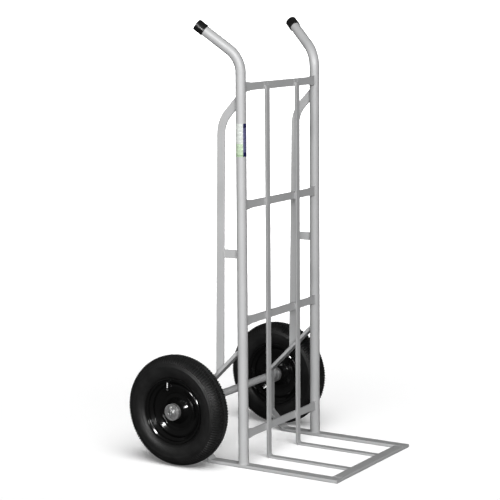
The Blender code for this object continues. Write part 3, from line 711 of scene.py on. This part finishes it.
def build_axle(materials):
    radius = (corners("axle_tube")[1].z - corners("axle_tube")[0].z) / 2
    reach = corners("axle_tube")[1].x
    tip = corners("axle")[1].x
    axle_radius = (corners("axle")[1].z - corners("axle")[0].z) / 2
    turned("axle_sleeve", ring_outline(-reach, reach, axle_radius + GAP, radius), AXLE,
           materials["silver_paint"], "frame", ["axle_tube"])
    turned("axle_pipe", ring_outline(-tip, tip, AXLE_BORE_RADIUS, axle_radius), AXLE,
           materials["axle_steel"], "frame", ["axle"])
    for name, _ in SIDES:
        for position in ("inner", "outer"):
            node = "washer_%s_%s" % (position, name)
            low, high = corners(node)
            outline = ring_outline(low.x, high.x, axle_radius + GAP, (high.z - low.z) / 2)
            turned("flat_" + node, outline, Vector((0.0, AXLE.y, AXLE.z)), materials["zinc_plate"],
                   "frame", [node])
        build_cotter(name, materials)


def build_cotter(name, materials):
    """A split pin, drawn as one wire: round eye on top, and a leg through the axle bent aside."""
    low, high = corners("cotter_pin_" + name)
    x = (low.x + high.x) / 2
    radius = COTTER_DIAMETER / 2
    top = high.z - COTTER_EYE * 2 - radius
    eye = Vector((x, AXLE.y, top + COTTER_EYE))
    tail = [Vector((x, AXLE.y + COTTER_TAIL, low.z + radius)),
            Vector((x, AXLE.y, low.z + radius + COTTER_TAIL_RISE)),
            Vector((x, AXLE.y, top))]
    path = rounded_path(tail, [COTTER_BEND], math.radians(10.0))[:-1]
    for i in range(33):
        turn = math.radians(-90.0 + 300.0 * i / 32)
        path.append(eye + (Y_AXIS * math.cos(turn) + Z_AXIS * math.sin(turn)) * COTTER_EYE)
    mesh_data = bmesh.new()
    rod(mesh_data, path, X_AXIS, [radius] * len(path), 16)
    place("split_pin_" + name, mesh_data, materials["axle_steel"], "frame",
          ["cotter_pin_" + name])


# ---- Wheels ----

def section_radius(x):
    """Radius of the tyre's smooth outer surface at a distance x from its middle plane."""
    share = min(abs(x) / TYRE_HALF_WIDTH, 1.0)
    crown = (1.0 - share ** SECTION_POWER) ** (1.0 / SECTION_POWER)
    return SECTION_MIDDLE + SECTION_HEIGHT * crown


def tread_rows():
    """Across one half of the tread: distance from the middle, and the row that it belongs to."""
    return [(0.0, "rib"), (0.0048, "rib"), (0.0054, "groove"), (0.0080, "groove"), (0.0086, "block"),
            (0.0130, "block"), (0.0176, "block"), (0.0182, "groove"), (0.0206, "groove"),
            (0.0212, "lug"), (0.0255, "lug"), (0.0300, "lug"), (0.0340, "lug"), (0.0368, "lug"),
            (0.0382, "edge")]


def sidewall():
    """From the tread's edge down to the bead, as (x, radius), with two raised rings."""
    points = []
    start_share = (section_radius(TREAD_HALF_WIDTH) - SECTION_MIDDLE) / SECTION_HEIGHT
    start = math.asin(start_share ** (SECTION_POWER / 2))
    end = math.radians(-40.0)
    for i in range(25):
        turn = start + (end - start) * i / 24
        cos_part = math.cos(turn)
        sin_part = math.sin(turn)
        if turn >= 0.0:
            cos_part = cos_part ** (2.0 / SECTION_POWER)
            sin_part = sin_part ** (2.0 / SECTION_POWER)
        ridge = RING_HEIGHT if i in RING_POINTS else 0.0
        points.append((TYRE_HALF_WIDTH * cos_part - RING_HEIGHT + ridge,
                       SECTION_MIDDLE + SECTION_HEIGHT * sin_part))
    points += [(0.0300, 0.1072), (BEAD_HALF_WIDTH, BEAD_RADIUS), (BEAD_HALF_WIDTH - 0.0010, 0.0985),
               (BEAD_HALF_WIDTH - 0.0020, 0.0964)]
    return points


def casing_line():
    """The inside of the tyre, from one bead round to the other."""
    width = TYRE_HALF_WIDTH - CASING
    height = SECTION_HEIGHT - CASING - TREAD_DEPTH
    turns = [math.radians(-35.0 + 250.0 * i / 12) for i in range(13)]
    return [(width * math.cos(turn), SECTION_MIDDLE + height * math.sin(turn)) for turn in turns]


def sunk(row, step, side):
    """How deep the tread is cut here. The blocks on one side are half a block behind the other's."""
    phase = (step + (TREAD_STEPS // 2 if side < 0 else 0)) % TREAD_STEPS
    first_half, second_half = TREAD_CUTS[row]
    return first_half if phase < TREAD_STEPS // 2 else second_half


def build_tyre(name, sign, materials):
    centre = Vector((sign * WHEEL_X, AXLE.y, AXLE.z))
    half = tread_rows()
    across = [(-x, row) for x, row in reversed(half[1:])] + half
    wall = sidewall()
    inside = casing_line()
    steps = TREAD_BLOCKS * TREAD_STEPS
    mesh_data = bmesh.new()
    rings = []
    for i in range(steps):
        outline = [(-x, radius) for x, radius in reversed(wall)]
        for x, row in across:
            outline.append((x, section_radius(x) - TREAD_DEPTH * sunk(row, i, x)))
        outline += wall + inside
        turn = 2.0 * math.pi * i / steps
        direction = Vector((0.0, math.cos(turn), math.sin(turn)))
        rings.append([mesh_data.verts.new(centre + X_AXIS * x + direction * r) for x, r in outline])
    bridge(mesh_data, rings + rings[:1])
    place("tyre_casing_" + name, mesh_data, materials["tyre_rubber"], "wheel_" + name,
          ["tyre_" + name], angle=38.0)


def rim_line():
    """The middle line of the rim's sheet: rolled lip, flange, bead seat and well, both sides."""
    half = [(RIM_HALF_WIDTH, RIM_LIP - 0.0020), (RIM_HALF_WIDTH - 0.0024, RIM_LIP + 0.0004),
            (RIM_HALF_WIDTH - 0.0052, BEAD_SEAT + 0.0012), (RIM_HALF_WIDTH - 0.0118, BEAD_SEAT),
            (RIM_HALF_WIDTH - 0.0190, RIM_WELL)]
    return half + [(-x, radius) for x, radius in reversed(half)]


def disc_line():
    """The middle line of a wheel disc: flange in the well, crest, bowl and hub collar."""
    flange = RIM_WELL - SHEET - GAP
    collar = HUB_RADIUS + GAP + SHEET / 2
    return [(GAP, flange), (0.0108, flange), (0.0128, 0.0780), (0.0070, 0.0655),
            (0.0062, 0.0580), (0.0026, 0.0545), (0.0046, 0.0420), (0.0165, 0.0320),
            (0.0250, collar)]


def build_wheel(name, sign, materials):
    body = "wheel_" + name
    centre = Vector((sign * WHEEL_X, AXLE.y, AXLE.z))
    mesh_data = bmesh.new()
    lathe(mesh_data, strip(smooth_line(rim_line(), RIM_BEND), SHEET), centre, WHEEL_SIDES)
    place("rim_barrel_" + name, mesh_data, materials["black_enamel"], body,
          ["rim_" + name])
    for position, outwards in (("outer", sign), ("inner", -sign)):
        mesh_data = bmesh.new()
        line = [(outwards * x, radius) for x, radius in smooth_line(disc_line(), DISC_BEND)]
        lathe(mesh_data, strip(line, SHEET), centre, WHEEL_SIDES)
        end = "%s_%s" % (position, name)
        place("wheel_web_" + end, mesh_data, materials["black_enamel"], body,
              ["wheel_disc_" + end])
    race_low, race_high = corners("outer_race_outer_right")
    pocket = (race_high.z - race_low.z) / 2 + GAP
    shoulder = HUB_HALF - POCKET_DEPTH
    outline = [(HUB_HALF, HUB_RADIUS), (HUB_HALF, pocket), (shoulder, pocket), (shoulder, HUB_BORE)]
    outline += [(-x, radius) for x, radius in reversed(outline)]
    turned("hub_barrel_" + name, outline, centre, materials["zinc_plate"], body,
           ["hub_" + name])
    build_seals(name, centre, materials)
    build_valve(name, materials)


def build_seals(name, centre, materials):
    """Flat metal covers with rounded edges in the hub's two ends."""
    for position in ("inner", "outer"):
        node = "seal_%s_%s" % (position, name)
        low, high = corners(node)
        outline = ring_outline(low.x - centre.x, high.x - centre.x, SEAL_BORE, (high.z - low.z) / 2)
        turned("cover_" + node, outline, centre, materials["zinc_plate"], "wheel_" + name,
               [node])


def build_valve(name, materials):
    """A plated stem that narrows towards its tip, and a ribbed screw cap."""
    foot, tip = axis_ends("valve_stem_" + name)
    run = (tip - foot).normalized()
    side = run.orthogonal().normalized()
    length = (tip - foot).length
    stations = [(0.0, 0.0034), (0.30, 0.0035), (0.52, 0.0033), (0.60, 0.0026), (0.97, 0.0026),
                (1.0, 0.0022)]
    mesh_data = bmesh.new()
    rod(mesh_data, [foot + run * length * s for s, r in stations], side, [r for s, r in stations], 24)
    place("valve_barrel_" + name, mesh_data, materials["zinc_plate"], "wheel_" + name,
          ["valve_stem_" + name])
    start = tip + run * GAP
    shape = [(0.0, 0.0038), (0.0006, 0.0041), (0.0062, 0.0041), (0.0076, 0.0034), (0.0088, 0.0020)]
    mesh_data = bmesh.new()
    across = side.cross(run)
    rings = []
    for distance, radius in shape:
        ring = []
        for i in range(VALVE_RIBS * 3):
            turn = 2.0 * math.pi * i / (VALVE_RIBS * 3)
            groove = RIB_DEPTH if i % 3 == 0 and radius > RIBBED_RADIUS else 0.0
            outward = side * math.cos(turn) + across * math.sin(turn)
            ring.append(mesh_data.verts.new(start + run * distance + outward * radius * (1.0 - groove)))
        rings.append(ring)
    bridge(mesh_data, rings)
    mesh_data.faces.new(rings[0])
    mesh_data.faces.new(rings[-1])
    place("valve_screw_cap_" + name, mesh_data, materials["black_plastic"], "wheel_" + name,
          ["valve_cap_" + name])


def axis_ends(node):
    """The two ends of a valve stem, outer end first, from the middles of its end faces."""
    points = [vertex.co.copy() for vertex in frame["nodes"][node].data.vertices]
    hub = Vector((0.0, AXLE.y, AXLE.z))
    far = [p for p in points if (Vector((0.0, p.y, p.z)) - hub).length > VALVE_SPLIT]
    near = [p for p in points if (Vector((0.0, p.y, p.z)) - hub).length <= VALVE_SPLIT]
    return sum(far, Vector()) / len(far), sum(near, Vector()) / len(near)


# ---- Stage ----

def make_floor_paper():
    """White paper with faint patches. It glows more with distance, so that the backdrop is white."""
    material, tree, shader = new_material("floor_paper", specular=0.1)
    patches = add_noise(tree, 3.0, 4.0)
    tone = add_ramp(tree, patches, "Fac", ((0.3, grey(0.88)), (0.7, grey(0.90))))
    link(tree, tone, "Color", shader, "Base Color")
    shader.inputs["Roughness"].default_value = 0.9
    coordinates = tree.nodes.new("ShaderNodeTexCoord")
    distance = tree.nodes.new("ShaderNodeVectorMath")
    distance.operation = "LENGTH"
    link(tree, coordinates, "Object", distance, "Vector")
    glow = tree.nodes.new("ShaderNodeMapRange")
    glow.inputs["From Min"].default_value = GLOW_RISE[0]
    glow.inputs["From Max"].default_value = GLOW_RISE[1]
    glow.inputs["To Min"].default_value = GROUND_GLOW
    glow.inputs["To Max"].default_value = 1.0
    link(tree, distance, "Value", glow, "Value")
    shader.inputs["Emission Color"].default_value = (1.0, 1.0, 1.0, 1.0)
    link(tree, glow, "Result", shader, "Emission Strength")
    return material


def build_stage():
    """A round pale floor that turns up into a backdrop far behind the truck on every side."""
    mesh_data = bmesh.new()
    profile = [(FLOOR_RADIUS * share, 0.0) for share in (0.1, 0.4, 1.0)]
    for i in range(1, 13):
        turn = math.radians(90.0) * i / 12
        profile.append((FLOOR_RADIUS + COVE_RADIUS * math.sin(turn),
                        COVE_RADIUS * (1.0 - math.cos(turn))))
    rings = []
    for radius, height in profile:
        rings.append([mesh_data.verts.new((x, -y, height)) for x, y in circle(radius, 96)])
    bridge(mesh_data, rings)
    mesh_data.faces.new(rings[0][::-1])
    mesh = bpy.data.meshes.new("floor")
    mesh_data.to_mesh(mesh)
    mesh_data.free()
    mesh.shade_smooth()
    mesh.materials.append(make_floor_paper())
    floor = bpy.data.objects.new("floor", mesh)
    bpy.context.scene.collection.objects.link(floor)
    floor.visible_diffuse = False
    floor.visible_glossy = False
    return floor


def build_world():
    world = bpy.data.worlds.new("studio")
    world.use_nodes = True
    tree = world.node_tree
    background = tree.nodes["Background"]
    coordinates = tree.nodes.new("ShaderNodeTexCoord")
    split = tree.nodes.new("ShaderNodeSeparateXYZ")
    link(tree, coordinates, "Generated", split, "Vector")
    span = tree.nodes.new("ShaderNodeMapRange")
    span.inputs["From Min"].default_value = -HORIZON
    span.inputs["From Max"].default_value = HORIZON
    span.inputs["To Min"].default_value = SKY_FOOT
    span.inputs["To Max"].default_value = 1.0
    link(tree, split, "Z", span, "Value")
    link(tree, span, "Result", background, "Color")
    background.inputs["Strength"].default_value = SKY
    bpy.context.scene.world = world


def add_area_light(name, direction, distance, size, power, target, receivers):
    light = bpy.data.lights.new(name, "AREA")
    light.shape = "DISK"
    light.size = size
    light.energy = power
    lamp = bpy.data.objects.new(name, light)
    lamp.location = target + Vector(direction).normalized() * distance
    lamp.rotation_mode = "QUATERNION"
    lamp.rotation_quaternion = (target - lamp.location).to_track_quat("-Z", "Y")
    lamp.light_linking.receiver_collection = receivers
    bpy.context.scene.collection.objects.link(lamp)


def receiver_group(name, floor, state):
    group = bpy.data.collections.new(name)
    group.objects.link(floor)
    group.collection_objects[0].light_linking.link_state = state
    return group


def add_floor_wash(floor):
    """A broad light from above, for the floor alone: it keeps the paper white and draws shadows."""
    light = bpy.data.lights.new("floor_wash", "SUN")
    light.angle = WASH_ANGLE
    light.energy = WASH_STRENGTH
    lamp = bpy.data.objects.new("floor_wash", light)
    lamp.rotation_mode = "QUATERNION"
    lamp.rotation_quaternion = Vector(WASH_DIRECTION).to_track_quat("-Z", "Y")
    lamp.light_linking.receiver_collection = receiver_group("floor_only", floor, "INCLUDE")
    bpy.context.scene.collection.objects.link(lamp)


def build_lights(floor):
    target = Vector((0.0, 0.0, LIT_HEIGHT))
    receivers = receiver_group("all_but_floor", floor, "EXCLUDE")
    for name, direction, size, power in SOFT_BOXES:
        add_area_light(name, direction, BOX_DISTANCE, size, power, target, receivers)
    add_floor_wash(floor)


def build_camera():
    camera = bpy.data.objects.new("camera", bpy.data.cameras.new("camera"))
    camera.data.lens = LENS
    camera.data.sensor_width = SENSOR_WIDTH
    camera.data.clip_end = VIEW_DEPTH
    level = math.cos(CAMERA_ELEVATION)
    back = Vector((math.sin(CAMERA_AZIMUTH) * level, -math.cos(CAMERA_AZIMUTH) * level,
                   math.sin(CAMERA_ELEVATION)))
    right = Z_AXIS.cross(back).normalized()
    up = back.cross(right)
    turned_right = right * math.cos(CAMERA_ROLL) + up * math.sin(CAMERA_ROLL)
    turned_up = up * math.cos(CAMERA_ROLL) - right * math.sin(CAMERA_ROLL)
    target = Vector((0.0, UPRIGHT_Y, 0.0))
    camera.location = target + back * CAMERA_DISTANCE + right * CAMERA_PAN[0] + up * CAMERA_PAN[1]
    camera.rotation_mode = "QUATERNION"
    camera.rotation_quaternion = Matrix((turned_right, turned_up, back)).transposed().to_quaternion()
    bpy.context.scene.collection.objects.link(camera)
    bpy.context.scene.camera = camera
    bpy.context.scene.view_settings.view_transform = "Standard"


materials = make_materials()
for side_name, side_sign in SIDES:
    build_upright(side_name, side_sign, materials)
    build_tyre(side_name, side_sign, materials)
    build_wheel(side_name, side_sign, materials)
build_axle(materials)
build_welds(materials)
build_label(materials)
dress_frame_nodes(materials)
studio_floor = build_stage()
build_world()
build_lights(studio_floor)
build_camera()
